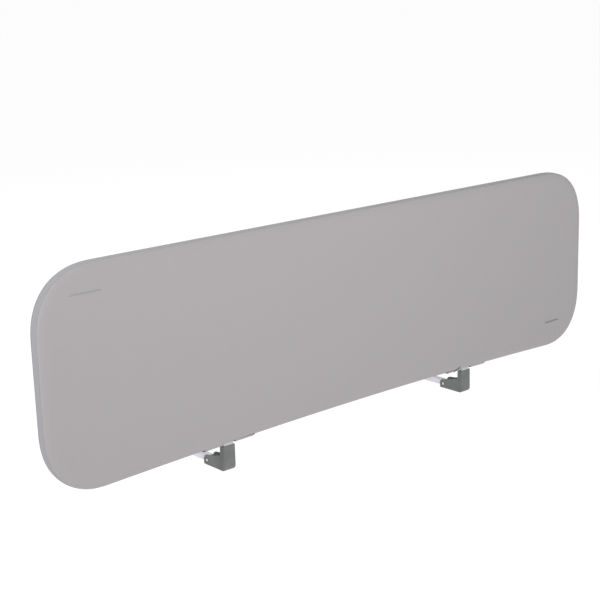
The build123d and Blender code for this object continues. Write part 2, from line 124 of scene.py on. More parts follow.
@dataclass(frozen=True)
class ClothFinish:
    """Plain-weave polyester, laminated to thin foam."""

    name: str
    base: Colour
    light: Colour
    dark: Colour
    pitch: float = 0.0008
    weave_depth: float = 0.00007
    slub: float = 0.5
    sheen: float = 0.04

    def material(self) -> bpy.types.Material:
        """Build the cloth from its weave, its slubs and its slow shade changes.

        Returns:
            A material that reads the piece's own UV map, which is in metres along warp and weft.
        """
        mat = blank_material(self.name)
        nodes, links = mat.node_tree.nodes, mat.node_tree.links

        out = nodes.new("ShaderNodeOutputMaterial")
        out.label = "cloth surface"
        cloth = nodes.new("ShaderNodeBsdfPrincipled")
        cloth.label = "polyester yarn"
        cloth.inputs["Roughness"].default_value = 0.86
        cloth.inputs["Sheen Weight"].default_value = self.sheen
        cloth.inputs["Sheen Roughness"].default_value = 0.45
        cloth.inputs["Specular IOR Level"].default_value = 0.25

        weave_frame = nodes.new("NodeFrame")
        weave_frame.label = "plain weave"
        uv = nodes.new("ShaderNodeUVMap")
        uv.label = "metres along warp and weft"
        uv.uv_map = CUT_MAP
        threads = nodes.new("ShaderNodeMapping")
        threads.label = "one unit per thread"
        threads.inputs["Scale"].default_value = (1 / self.pitch, 1 / self.pitch, 1.0)
        over = nodes.new("ShaderNodeTexChecker")
        over.label = "which thread is on top"
        over.inputs["Scale"].default_value = 1.0
        warp = nodes.new("ShaderNodeTexWave")
        warp.label = "round of the warp threads"
        warp.bands_direction = "X"
        warp.inputs["Scale"].default_value = WAVE_PER_UNIT
        weft = nodes.new("ShaderNodeTexWave")
        weft.label = "round of the weft threads"
        weft.bands_direction = "Y"
        weft.inputs["Scale"].default_value = WAVE_PER_UNIT
        top = nodes.new("ShaderNodeMix")
        top.label = "thread on top"
        weave_bump = nodes.new("ShaderNodeBump")
        weave_bump.label = "relief of the threads"
        weave_bump.inputs["Strength"].default_value = 0.55
        weave_bump.inputs["Distance"].default_value = self.weave_depth
        for node in (uv, threads, over, warp, weft, top, weave_bump):
            node.parent = weave_frame

        slub_frame = nodes.new("NodeFrame")
        slub_frame.label = "slubs and shade"
        along = nodes.new("ShaderNodeMapping")
        along.label = "stretch along the weft"
        along.inputs["Scale"].default_value = (22.0, 900.0, 1.0)
        across = nodes.new("ShaderNodeMapping")
        across.label = "stretch along the warp"
        across.inputs["Scale"].default_value = (900.0, 30.0, 1.0)
        weft_slub = nodes.new("ShaderNodeTexNoise")
        weft_slub.label = "thick weft yarns"
        weft_slub.inputs["Scale"].default_value = 1.0
        weft_slub.inputs["Detail"].default_value = 3.0
        warp_slub = nodes.new("ShaderNodeTexNoise")
        warp_slub.label = "thick warp yarns"
        warp_slub.inputs["Scale"].default_value = 1.0
        warp_slub.inputs["Detail"].default_value = 3.0
        slubs = nodes.new("ShaderNodeMix")
        slubs.label = "both yarns"
        slubs.inputs["Factor"].default_value = 0.5
        shade_range = nodes.new("ShaderNodeMapRange")
        shade_range.label = "how much the slubs show"
        shade_range.inputs["From Min"].default_value = 0.32
        shade_range.inputs["From Max"].default_value = 0.68
        shade_range.inputs["To Min"].default_value = 0.5 - self.slub / 2
        shade_range.inputs["To Max"].default_value = 0.5 + self.slub / 2
        yarn = nodes.new("ShaderNodeMix")
        yarn.data_type = "RGBA"
        yarn.label = "darker and lighter yarns"
        yarn.inputs["A"].default_value = (*self.dark, 1.0)
        yarn.inputs["B"].default_value = (*self.light, 1.0)
        patch = nodes.new("ShaderNodeTexNoise")
        patch.label = "slow change of shade over the panel"
        patch.inputs["Scale"].default_value = 3.5
        patch.inputs["Detail"].default_value = 2.0
        shade = nodes.new("ShaderNodeMix")
        shade.data_type = "RGBA"
        shade.label = "dyed colour"
        shade.inputs["B"].default_value = (*self.base, 1.0)
        for node in (along, across, weft_slub, warp_slub, slubs, shade_range, yarn, patch, shade):
            node.parent = slub_frame

        links.new(uv.outputs["UV"], threads.inputs["Vector"])
        links.new(threads.outputs["Vector"], over.inputs["Vector"])
        links.new(threads.outputs["Vector"], warp.inputs["Vector"])
        links.new(threads.outputs["Vector"], weft.inputs["Vector"])
        links.new(over.outputs["Fac"], top.inputs["Factor"])
        links.new(warp.outputs["Fac"], top.inputs["A"])
        links.new(weft.outputs["Fac"], top.inputs["B"])
        links.new(top.outputs["Result"], weave_bump.inputs["Height"])
        links.new(uv.outputs["UV"], along.inputs["Vector"])
        links.new(uv.outputs["UV"], across.inputs["Vector"])
        links.new(uv.outputs["UV"], patch.inputs["Vector"])
        links.new(along.outputs["Vector"], weft_slub.inputs["Vector"])
        links.new(across.outputs["Vector"], warp_slub.inputs["Vector"])
        links.new(weft_slub.outputs["Fac"], slubs.inputs["A"])
        links.new(warp_slub.outputs["Fac"], slubs.inputs["B"])
        links.new(slubs.outputs["Result"], shade_range.inputs["Value"])
        links.new(shade_range.outputs["Result"], yarn.inputs["Factor"])
        links.new(yarn.outputs["Result"], shade.inputs["A"])
        links.new(patch.outputs["Fac"], shade.inputs["Factor"])
        links.new(shade.outputs["Result"], cloth.inputs["Base Color"])
        links.new(weave_bump.outputs["Normal"], cloth.inputs["Normal"])
        links.new(cloth.outputs["BSDF"], out.inputs["Surface"])
        lay_out(mat.node_tree)
        return mat


@dataclass(frozen=True)
class MouldedFinish:
    """Moulded nylon or rubber with a fine eroded texture."""

    name: str
    base: Colour
    worn: Colour
    roughness: float = 0.55
    grain: float = 1600.0
    grain_depth: float = 0.00004
    specular: float = 0.5

    def material(self) -> bpy.types.Material:
        """Build the moulded surface from its grain, its flow marks and its rubbed patches.

        Returns:
            A material on Object coordinates.
        """
        mat = blank_material(self.name)
        nodes, links = mat.node_tree.nodes, mat.node_tree.links

        out = nodes.new("ShaderNodeOutputMaterial")
        out.label = "moulded surface"
        plastic = nodes.new("ShaderNodeBsdfPrincipled")
        plastic.label = "moulding"
        plastic.inputs["Specular IOR Level"].default_value = self.specular
        where = nodes.new("ShaderNodeTexCoord")
        where.label = "place on the object"

        grain_frame = nodes.new("NodeFrame")
        grain_frame.label = "eroded mould texture"
        pits = nodes.new("ShaderNodeTexVoronoi")
        pits.label = "fine pits"
        pits.inputs["Scale"].default_value = self.grain
        roughen = nodes.new("ShaderNodeTexNoise")
        roughen.label = "uneven pits"
        roughen.inputs["Scale"].default_value = self.grain * 0.6
        roughen.inputs["Detail"].default_value = 3.0
        relief = nodes.new("ShaderNodeMix")
        relief.label = "both reliefs"
        relief.inputs["Factor"].default_value = 0.5
        grain_bump = nodes.new("ShaderNodeBump")
        grain_bump.label = "relief of the grain"
        grain_bump.inputs["Strength"].default_value = 0.5
        grain_bump.inputs["Distance"].default_value = self.grain_depth
        for node in (pits, roughen, relief, grain_bump):
            node.parent = grain_frame

        shade_frame = nodes.new("NodeFrame")
        shade_frame.label = "flow marks and rubbed patches"
        flow = nodes.new("ShaderNodeTexNoise")
        flow.label = "flow marks"
        flow.inputs["Scale"].default_value = 38.0
        flow.inputs["Detail"].default_value = 4.0
        rubbed = nodes.new("ShaderNodeMapRange")
        rubbed.label = "where it is rubbed"
        rubbed.inputs["From Min"].default_value = 0.42
        rubbed.inputs["From Max"].default_value = 0.75
        colour = nodes.new("ShaderNodeMix")
        colour.data_type = "RGBA"
        colour.label = "clean to rubbed"
        colour.inputs["A"].default_value = (*self.base, 1.0)
        colour.inputs["B"].default_value = (*self.worn, 1.0)
        gloss = nodes.new("ShaderNodeMapRange")
        gloss.label = "rubbed patches shine more"
        gloss.inputs["To Min"].default_value = self.roughness + 0.05
        gloss.inputs["To Max"].default_value = self.roughness - 0.12
        for node in (flow, rubbed, colour, gloss):
            node.parent = shade_frame

        links.new(where.outputs["Object"], pits.inputs["Vector"])
        links.new(where.outputs["Object"], roughen.inputs["Vector"])
        links.new(where.outputs["Object"], flow.inputs["Vector"])
        links.new(pits.outputs["Distance"], relief.inputs["A"])
        links.new(roughen.outputs["Fac"], relief.inputs["B"])
        links.new(relief.outputs["Result"], grain_bump.inputs["Height"])
        links.new(flow.outputs["Fac"], rubbed.inputs["Value"])
        links.new(rubbed.outputs["Result"], colour.inputs["Factor"])
        links.new(rubbed.outputs["Result"], gloss.inputs["Value"])
        links.new(colour.outputs["Result"], plastic.inputs["Base Color"])
        links.new(gloss.outputs["Result"], plastic.inputs["Roughness"])
        links.new(grain_bump.outputs["Normal"], plastic.inputs["Normal"])
        links.new(plastic.outputs["BSDF"], out.inputs["Surface"])
        lay_out(mat.node_tree)
        return mat


@dataclass(frozen=True)
class PowderCoatFinish:
    """Baked powder coat on steel tube."""

    name: str
    base: Colour
    fleck: Colour
    roughness: float = 0.38

    def material(self) -> bpy.types.Material:
        """Build the coat from its orange peel, its fine flecks and a soft gloss.

        Returns:
            A material on Object coordinates.
        """
        mat = blank_material(self.name)
        nodes, links = mat.node_tree.nodes, mat.node_tree.links

        out = nodes.new("ShaderNodeOutputMaterial")
        out.label = "coated steel"
        coat = nodes.new("ShaderNodeBsdfPrincipled")
        coat.label = "powder coat"
        coat.inputs["Coat Weight"].default_value = 0.15
        coat.inputs["Coat Roughness"].default_value = 0.25
        where = nodes.new("ShaderNodeTexCoord")
        where.label = "place on the object"

        peel_frame = nodes.new("NodeFrame")
        peel_frame.label = "orange peel"
        peel = nodes.new("ShaderNodeTexNoise")
        peel.label = "ripple of the baked coat"
        peel.inputs["Scale"].default_value = 620.0
        peel.inputs["Detail"].default_value = 2.0
        peel_bump = nodes.new("ShaderNodeBump")
        peel_bump.label = "relief of the ripple"
        peel_bump.inputs["Strength"].default_value = 0.35
        peel_bump.inputs["Distance"].default_value = 0.00005
        for node in (peel, peel_bump):
            node.parent = peel_frame

        colour_frame = nodes.new("NodeFrame")
        colour_frame.label = "flecks and wipe marks"
        flecks = nodes.new("ShaderNodeTexNoise")
        flecks.label = "flecks in the powder"
        flecks.inputs["Scale"].default_value = 2600.0
        fleck_range = nodes.new("ShaderNodeMapRange")
        fleck_range.label = "only the strongest flecks"
        fleck_range.inputs["From Min"].default_value = 0.58
        fleck_range.inputs["From Max"].default_value = 0.72
        fleck_range.inputs["To Max"].default_value = 0.5
        colour = nodes.new("ShaderNodeMix")
        colour.data_type = "RGBA"
        colour.label = "coat colour"
        colour.inputs["A"].default_value = (*self.base, 1.0)
        colour.inputs["B"].default_value = (*self.fleck, 1.0)
        wipe = nodes.new("ShaderNodeTexNoise")
        wipe.label = "wipe marks"
        wipe.inputs["Scale"].default_value = 24.0
        wipe.inputs["Detail"].default_value = 5.0
        gloss = nodes.new("ShaderNodeMapRange")
        gloss.label = "gloss"
        gloss.inputs["To Min"].default_value = self.roughness - 0.08
        gloss.inputs["To Max"].default_value = self.roughness + 0.12
        for node in (flecks, fleck_range, colour, wipe, gloss):
            node.parent = colour_frame

        links.new(where.outputs["Object"], peel.inputs["Vector"])
        links.new(where.outputs["Object"], flecks.inputs["Vector"])
        links.new(where.outputs["Object"], wipe.inputs["Vector"])
        links.new(peel.outputs["Fac"], peel_bump.inputs["Height"])
        links.new(flecks.outputs["Fac"], fleck_range.inputs["Value"])
        links.new(fleck_range.outputs["Result"], colour.inputs["Factor"])
        links.new(wipe.outputs["Fac"], gloss.inputs["Value"])
        links.new(colour.outputs["Result"], coat.inputs["Base Color"])
        links.new(gloss.outputs["Result"], coat.inputs["Roughness"])
        links.new(peel_bump.outputs["Normal"], coat.inputs["Normal"])
        links.new(coat.outputs["BSDF"], out.inputs["Surface"])
        lay_out(mat.node_tree)
        return mat


@dataclass(frozen=True)
class BareMetalFinish:
    """Plated steel of rivets, screws and small tubes."""

    name: str
    base: Colour
    tarnish: Colour
    roughness: float = 0.28
    scratch_stretch: tuple[float, float, float] = (60.0, 900.0, 900.0)

    def material(self) -> bpy.types.Material:
        """Build the plating from its drawn scratches and its cloudy passivation.

        Returns:
            A material on Object coordinates.
        """
        mat = blank_material(self.name)
        nodes, links = mat.node_tree.nodes, mat.node_tree.links

        out = nodes.new("ShaderNodeOutputMaterial")
        out.label = "plated steel"
        metal = nodes.new("ShaderNodeBsdfPrincipled")
        metal.label = "plating"
        metal.inputs["Metallic"].default_value = 1.0
        where = nodes.new("ShaderNodeTexCoord")
        where.label = "place on the object"

        scratch_frame = nodes.new("NodeFrame")
        scratch_frame.label = "drawn scratches"
        stretch = nodes.new("ShaderNodeMapping")
        stretch.label = "long in the drawing direction"
        stretch.inputs["Scale"].default_value = self.scratch_stretch
        scratches = nodes.new("ShaderNodeTexNoise")
        scratches.label = "scratches"
        scratches.inputs["Scale"].default_value = 1.0
        scratches.inputs["Detail"].default_value = 4.0
        scratch_bump = nodes.new("ShaderNodeBump")
        scratch_bump.label = "relief of the scratches"
        scratch_bump.inputs["Strength"].default_value = 0.25
        scratch_bump.inputs["Distance"].default_value = 0.00002
        gloss = nodes.new("ShaderNodeMapRange")
        gloss.label = "scratches scatter light"
        gloss.inputs["To Min"].default_value = self.roughness - 0.06
        gloss.inputs["To Max"].default_value = self.roughness + 0.14
        for node in (stretch, scratches, scratch_bump, gloss):
            node.parent = scratch_frame

        cloud_frame = nodes.new("NodeFrame")
        cloud_frame.label = "cloudy plating"
        cloud = nodes.new("ShaderNodeTexNoise")
        cloud.label = "clouds"
        cloud.inputs["Scale"].default_value = 180.0
        colour = nodes.new("ShaderNodeMix")
        colour.data_type = "RGBA"
        colour.label = "bright to dull"
        colour.inputs["A"].default_value = (*self.base, 1.0)
        colour.inputs["B"].default_value = (*self.tarnish, 1.0)
        for node in (cloud, colour):
            node.parent = cloud_frame

        links.new(where.outputs["Object"], stretch.inputs["Vector"])
        links.new(stretch.outputs["Vector"], scratches.inputs["Vector"])
        links.new(scratches.outputs["Fac"], scratch_bump.inputs["Height"])
        links.new(scratches.outputs["Fac"], gloss.inputs["Value"])
        links.new(where.outputs["Object"], cloud.inputs["Vector"])
        links.new(cloud.outputs["Fac"], colour.inputs["Factor"])
        links.new(colour.outputs["Result"], metal.inputs["Base Color"])
        links.new(gloss.outputs["Result"], metal.inputs["Roughness"])
        links.new(scratch_bump.outputs["Normal"], metal.inputs["Normal"])
        links.new(metal.outputs["BSDF"], out.inputs["Surface"])
        lay_out(mat.node_tree)
        return mat


@dataclass(frozen=True)
class FibreFinish:
    """Hook-and-loop tape, binding and sewing thread: fibres seen on Object coordinates."""

    name: str
    base: Colour
    # Colour of the pile's high points, which is painted light on the tops of the loops; base is the painted
    # shade in the hollows.
    painted_light_tip: Colour
    fibre: float = 1400.0
    depth: float = 0.0003
    sheen: float = 0.4

    def material(self) -> bpy.types.Material:
        """Build the pile from its loops, with painted shade in the hollows between them and painted light on
        their tops.

        Returns:
            A material on Object coordinates.
        """
        mat = blank_material(self.name)
        nodes, links = mat.node_tree.nodes, mat.node_tree.links

        out = nodes.new("ShaderNodeOutputMaterial")
        out.label = "fibre surface"
        fibre = nodes.new("ShaderNodeBsdfPrincipled")
        fibre.label = "nylon fibre"
        fibre.inputs["Roughness"].default_value = 0.9
        fibre.inputs["Sheen Weight"].default_value = self.sheen
        where = nodes.new("ShaderNodeTexCoord")
        where.label = "place on the object"

        pile_frame = nodes.new("NodeFrame")
        pile_frame.label = "pile"
        loops = nodes.new("ShaderNodeTexVoronoi")
        loops.label = "rows of loops"
        loops.inputs["Scale"].default_value = self.fibre
        fuzz = nodes.new("ShaderNodeTexNoise")
        fuzz.label = "stray fibres"
        fuzz.inputs["Scale"].default_value = self.fibre * 2.2
        fuzz.inputs["Detail"].default_value = 4.0
        height = nodes.new("ShaderNodeMix")
        height.label = "loops and strays"
        height.inputs["Factor"].default_value = 0.4
        pile_bump = nodes.new("ShaderNodeBump")
        pile_bump.label = "relief of the pile"
        pile_bump.inputs["Strength"].default_value = 0.7
        pile_bump.inputs["Distance"].default_value = self.depth
        # Painted shade and light: the colour follows the pile's height, darker in the hollows between loops
        # and lighter on their tops.
        colour = nodes.new("ShaderNodeMix")
        colour.data_type = "RGBA"
        colour.label = "painted shade to painted light"
        colour.inputs["A"].default_value = (*self.base, 1.0)
        colour.inputs["B"].default_value = (*self.painted_light_tip, 1.0)
        for node in (loops, fuzz, height, pile_bump, colour):
            node.parent = pile_frame

        links.new(where.outputs["Object"], loops.inputs["Vector"])
        links.new(where.outputs["Object"], fuzz.inputs["Vector"])
        links.new(loops.outputs["Distance"], height.inputs["A"])
        links.new(fuzz.outputs["Fac"], height.inputs["B"])
        links.new(height.outputs["Result"], pile_bump.inputs["Height"])
        # The pile's height also sets its colour: painted shade where it is low, painted light where it is
        # high.
        links.new(height.outputs["Result"], colour.inputs["Factor"])
        links.new(colour.outputs["Result"], fibre.inputs["Base Color"])
        links.new(pile_bump.outputs["Normal"], fibre.inputs["Normal"])
        links.new(fibre.outputs["BSDF"], out.inputs["Surface"])
        lay_out(mat.node_tree)
        return mat


COVER_CLOTH = ClothFinish(
    "cover_cloth", base=(0.362, 0.345, 0.350), light=(0.384, 0.366, 0.371), dark=(0.338, 0.322, 0.328),
)
GUSSET_CLOTH = ClothFinish(
    "gusset_cloth", base=(0.326, 0.325, 0.341), light=(0.346, 0.345, 0.361), dark=(0.304, 0.303, 0.319),
)
# In each fibre finish the first colour is painted shade in the pile's hollows and the second is painted light
# on its tops.
BINDING_TAPE = FibreFinish("binding_tape", (0.30, 0.30, 0.32), (0.40, 0.40, 0.42), fibre=1100.0)
THREAD = FibreFinish("sewing_thread", (0.30, 0.29, 0.30), (0.44, 0.43, 0.44), fibre=2600.0, depth=0.0001)
PRINT_PALE = FibreFinish("pale_print", (0.27, 0.26, 0.265), (0.33, 0.32, 0.325), 1200.0, 0.00005, 0.1)
PRINT_DARK = FibreFinish("dark_print", (0.18, 0.175, 0.18), (0.24, 0.235, 0.24), 1200.0, 0.00005, 0.1)
NODE_FINISHES = {
    Slot.TAPE: FibreFinish("touch_tape", (0.012, 0.012, 0.013), (0.06, 0.06, 0.065), 900.0, 0.0005),
    Slot.FRAME_TUBE: PowderCoatFinish("frame_tube_coat", (0.60, 0.60, 0.62), (0.40, 0.40, 0.42)),
    Slot.SPINE: PowderCoatFinish("spine_coat", (0.46, 0.485, 0.485), (0.36, 0.38, 0.38)),
    Slot.ARM: PowderCoatFinish("arm_coat", (0.66, 0.64, 0.70), (0.48, 0.47, 0.54)),
    Slot.ZINC: BareMetalFinish("zinc_plate", (0.62, 0.63, 0.64), (0.48, 0.49, 0.48), 0.34),
    Slot.RIVET: BareMetalFinish(
        "nickel_plate", (0.62, 0.62, 0.60), (0.48, 0.48, 0.46), 0.30, scratch_stretch=(900.0, 300.0, 300.0),
    ),
    Slot.BRACKET: MouldedFinish("bracket_nylon", (0.132, 0.142, 0.137), (0.165, 0.175, 0.169)),
    Slot.HOUSING: MouldedFinish("housing_nylon", (0.045, 0.047, 0.048), (0.075, 0.077, 0.078)),
    Slot.NYLON: MouldedFinish("natural_nylon", (0.74, 0.73, 0.69), (0.80, 0.79, 0.76), 0.45, 900.0, 0.00002),
    Slot.SOLE: MouldedFinish(
        "sole_rubber", (0.018, 0.018, 0.019), (0.045, 0.045, 0.045), 0.8, 1100.0, 0.00008, specular=0.3,
    ),
}


# ---- mesh helpers -----------------------------------------------------------------------------------------
def new_piece(
    name: str, points: np.ndarray, faces: list[tuple[int, ...]], smooth: bool = True,
) -> bpy.types.Object:
    """Make a mesh object at the origin.

    Args:
        name: Name of the piece.
        points: Vertices in the frame of the CAD model.
        faces: Vertex indices of each face, anticlockwise from outside.
        smooth: Shade the faces smooth.

    Returns:
        The linked object.
    """
    mesh = bpy.data.meshes.new(name)
    mesh.from_pydata([tuple(p) for p in points], [], faces)
    mesh.update()
    if smooth:
        mesh.shade_smooth()
    piece = bpy.data.objects.new(name, mesh)
    bpy.context.scene.collection.objects.link(piece)
    return piece


def dress(piece: bpy.types.Object, material: bpy.types.Material) -> None:
    """Give a new piece its material and log its cage faces.

    Args:
        piece: The new piece.
        material: Its finish.
    """
    piece.data.materials.append(material)
    LOG.info("%s: %d cage faces", piece.name, len(piece.data.polygons))


def thicken(piece: bpy.types.Object, thickness: float, levels: int, even: bool = False) -> None:
    """Give a sheet its thickness, inwards, and its smooth surface, both live.

    Args:
        piece: The sheet.
        thickness: Thickness in metres.
        levels: Subdivision levels; 0 leaves the sheet as it is.
        even: Keep the thickness even round tight bends.
    """
    wall = piece.modifiers.new("thickness", "SOLIDIFY")
    wall.thickness = thickness
    wall.offset = -1.0
    wall.use_even_offset = even
    if levels:
        smooth = piece.modifiers.new("smooth surface", "SUBSURF")
        smooth.levels = levels
        smooth.render_levels = levels


def grid_faces(columns: int, rows: int, wrap: bool = False, closed: bool = False) -> list[tuple[int, ...]]:
    """Quads of a grid whose vertices run row by row inside each column.

    Args:
        columns: Number of columns of vertices.
        rows: Number of vertices in a column.
        wrap: Join the last column to the first.
        closed: Join the last row to the first.

    Returns:
        The quads.
    """
    faces = []
    for column in range(columns if wrap else columns - 1):
        a, b = column * rows, (column + 1) % columns * rows
        for row in range(rows if closed else rows - 1):
            across = (row + 1) % rows
            faces.append((a + row, b + row, b + across, a + across))
    return faces


def write_cut(piece: bpy.types.Object, cut: np.ndarray) -> None:
    """Store the flat cut of a cloth piece as its UV map, in metres.

    Args:
        piece: The cloth.
        cut: One (u, v) for each vertex.
    """
    mesh = piece.data
    layer = mesh.uv_layers.new(name=CUT_MAP)
    corner_vertex = np.empty(len(mesh.loops), np.int32)
    mesh.loops.foreach_get("vertex_index", corner_vertex)
    layer.data.foreach_set("uv", cut[corner_vertex].astype(np.float32).ravel())


# ---- fabric cover -----------------------------------------------------------------------------------------
@dataclass
class PanelOutline:
    """Outline of the sewn cover, seen from the front."""

    half_width: float
    low: float
    top: float
    top_rx: float = 0.132
    top_rz: float = 0.131
    top_power: float = 2.32
    low_rx: float = 0.117
    low_rz: float = 0.127
    low_power: float = 2.28
    hem_rise: float = 0.0121
    hem_fullness: float = 1.05
    corner_steps: int = 22
    side_steps: int = 30
    run_steps: int = 196

    def corner(self, rx: float, rz: float, power: float) -> tuple[np.ndarray, np.ndarray]:
        """Quarter of a superellipse.

        Args:
            rx: Half axis along X.
            rz: Half axis along Z.
            power: Its power; 2 is an ellipse.

        Returns:
            X and Z, from the side (rx, 0) to the top (0, rz).
        """
        turn = np.linspace(0, math.pi / 2, self.corner_steps + 1)
        return rx * np.cos(turn).clip(0) ** (2 / power), rz * np.sin(turn) ** (2 / power)

    def hem(self, x: np.ndarray) -> np.ndarray:
        """Rise of the bottom edge over its lowest point.

        Args:
            x: Places along the panel.

        Returns:
            Heights above the lowest point of the cover.
        """
        run = self.half_width - self.low_rx
        return self.hem_rise * (1 - np.clip(np.abs(x) / run, 0, 1) ** 2) ** self.hem_fullness

    def rows(self) -> tuple[np.ndarray, np.ndarray]:
        """Matching points of the bottom and the top edge, left to right.

        Returns:
            Two arrays of (x, z), one point for each column.
        """
        edges = []
        for rx, rz, power, level, sign in (
            (self.low_rx, self.low_rz, self.low_power, self.low, -1),
            (self.top_rx, self.top_rz, self.top_power, self.top, 1),
        ):
            cx, cz = self.corner(rx, rz, power)
            start = self.half_width - rx
            run = np.linspace(-start, start, self.run_steps + 1)[1:-1]
            x = np.concatenate([-start - cx, run, (start + cx)[::-1]])
            z = level - sign * rz + sign * np.concatenate([cz, np.full(len(run), rz), cz[::-1]])
            if sign < 0:
                z = z + self.hem(x)
            edges.append(np.stack([x, z], 1))
        return edges[0], edges[1]

    def loop(self) -> np.ndarray:
        """The whole outline once round, anticlockwise from the bottom left corner.

        Returns:
            (x, z) for each point of the loop.
        """
        low, top = self.rows()
        up = np.linspace(low[-1], top[-1], self.side_steps + 1)[1:-1]
        down = np.linspace(top[0], low[0], self.side_steps + 1)[1:-1]
        return np.concatenate([low, up, top[::-1], down])

    def steps(self, loop: np.ndarray) -> np.ndarray:
        """Distance from each point of the loop to the next one.

        Args:
            loop: Points of the loop.

        Returns:
            One distance for each point.
        """
        return np.linalg.norm(np.roll(loop, -1, 0) - loop, axis=1)

    def outward(self, loop: np.ndarray) -> np.ndarray:
        """Unit normals that point out of the outline.

        Args:
            loop: Points of the loop.

        Returns:
            (x, z) of each normal.
        """
        along = np.roll(loop, -1, 0) - np.roll(loop, 1, 0)
        normal = np.stack([along[:, 1], -along[:, 0]], 1)
        return normal / np.linalg.norm(normal, axis=1)[:, None]


@dataclass
class FabricCover:
    """The sewn cover: front, back, gusset band and the binding in the seams.

    The roll, the band and the tape are sections across the edge: how far in from the outline, then how far
    behind their own face.  A crease is its place as a share of the flap's half length, its lean, its width
    and its depth.
    """

    outline: PanelOutline
    front_y: float
    back_y: float
    bracket_x: float
    post_half: float
    post_back: float
    cloth: float = 0.0011
    roll: tuple[tuple[float, float], ...] = (
        (0.0016, 0.0048), (0.0010, 0.0041), (0.0014, 0.0033), (0.0029, 0.0024), (0.0055, 0.0016),
        (0.0090, 0.0009), (0.0132, 0.0004), (0.0180, 0.0001), (0.0235, 0.0),
    )
    band: tuple[tuple[float, float], ...] = (
        (0.0017, 0.0047), (0.0010, 0.0056), (0.0005, 0.0075), (0.0001, 0.0105), (0.0, 0.0140),
        (0.0001, 0.0175), (0.0005, 0.0205), (0.0010, 0.0224), (0.0017, 0.0233),
    )
    tape_section: tuple[tuple[float, float], ...] = (
        (0.0032, 0.0064), (0.0032, 0.0074), (0.0036, 0.0078),
        (0.0052, 0.0078), (0.0056, 0.0074), (0.0056, 0.0064),
    )
    hump: tuple[float, ...] = (1.0, 0.3, -0.5, -1.0, -0.8, -0.45, -0.2, 0.0, 0.0)
    slack: float = 0.0009
    ripple: float = 0.00045
    pucker: float = 0.00028
    pucker_length: float = 0.011
    gather_length: float = 0.034
    flap_half: float = 0.066
    crease_rise: float = 0.012
    crease_fade: float = 0.032
    creases: tuple[tuple[float, float, float, float], ...] = (
        (-1.04, 0.10, 0.0050, 0.00042), (1.02, -0.16, 0.0060, 0.00060), (0.10, 0.30, 0.0085, 0.00050),
        (-0.28, 0.18, 0.0090, -0.00035), (0.55, -0.22, 0.0100, -0.00030),
    )
    slot_height: float = 0.03
    cut_share: float = 0.985
    band_width: float = 0.0215

    def puckers(self, loop: np.ndarray, seed: float) -> np.ndarray:
        """Small uneven gathers along a seam.

        Args:
            loop: Points of the outline.
            seed: Where in the noise this seam lies.

        Returns:
            A height from -1 to 1 for each point.
        """
        run = np.concatenate([[0], np.cumsum(self.outline.steps(loop))[:-1]])
        return np.array([
            noise.noise(Vector((s / self.pucker_length, seed, 0.0)))
            + 0.6 * noise.noise(Vector((s / self.gather_length, seed + 7.0, 3.0)))
            for s in run
        ])

    def pull(self, x: np.ndarray, z: np.ndarray, facing: float) -> np.ndarray:
        """How far the stretched face lies under its flat plane.

        Args:
            x: Places along the panel.
            z: Heights.
            facing: -1 for the front and 1 for the back, which crease differently.

        Returns:
            Depths in metres, positive into the panel.
        """
        mid = (self.outline.low + self.outline.top) / 2
        half = (self.outline.top - self.outline.low) / 2
        u, v = x / self.outline.half_width, (z - mid) / half
        hollow = self.slack * np.clip(1 - u ** 6, 0, 1) * np.clip(1 - v ** 4, 0, 1)
        waves = np.array([
            noise.noise(Vector((a * 2.1, b * 1.3, 5.0 * facing)))
            + 0.4 * noise.noise(Vector((a * 7.0, b * 2.2, 9.0 * facing)))
            for a, b in zip(x.ravel(), z.ravel())
        ]).reshape(x.shape)
        calm = np.clip(1 - u ** 8, 0, 1) * np.clip(1 - v ** 6, 0, 1)
        depth = hollow + self.ripple * waves * calm
        for side in Side:
            depth += self.post_creases(x, z, side.value * self.bracket_x, facing)
        return depth

    def post_creases(self, x: np.ndarray, z: np.ndarray, centre: float, facing: float) -> np.ndarray:
        """Creases that run up from the flap round one post.

        Args:
            x: Places along the panel.
            z: Heights.
            centre: Where the post is.
            facing: -1 for the front and 1 for the back.

        Returns:
            Depths in metres, positive into the panel.
        """
        rise = z - self.outline.low
        depth = np.zeros_like(x)
        for place, lean, width, deep in self.creases:
            line = centre + place * self.flap_half - facing * lean * rise
            fade = np.exp(-((rise - self.crease_rise) / self.crease_fade) ** 2)
            depth += deep * fade * np.exp(-((x - line) / width) ** 2)
        return depth

    def face_sheet(self, name: str, facing: float) -> bpy.types.Object:
        """One big face with the edge that rolls over the tube.

        Args:
            name: Name of the piece.
            facing: -1 for the front and 1 for the back.

        Returns:
            The sheet, still without thickness; the caller adds it.
        """
        loop = self.outline.loop()
        out = self.outline.outward(loop)
        plane = self.front_y if facing < 0 else self.back_y
        count = len(loop)
        gather = self.puckers(loop, 11.0 * facing)
        hump = np.array(self.hump) * self.pucker
        rings = []
        for k, (inset, depth) in enumerate(self.roll):
            flat = loop - out * inset
            sink = depth + hump[k] * gather
            if k == len(self.roll) - 1:
                sink = sink * 0 + self.pull(flat[:, 0], flat[:, 1], facing)
            rings.append(np.stack([flat[:, 0], plane - facing * sink, flat[:, 1]], 1))
        strip = np.stack(rings, 1).reshape(-1, 3)
        rows = len(self.roll)

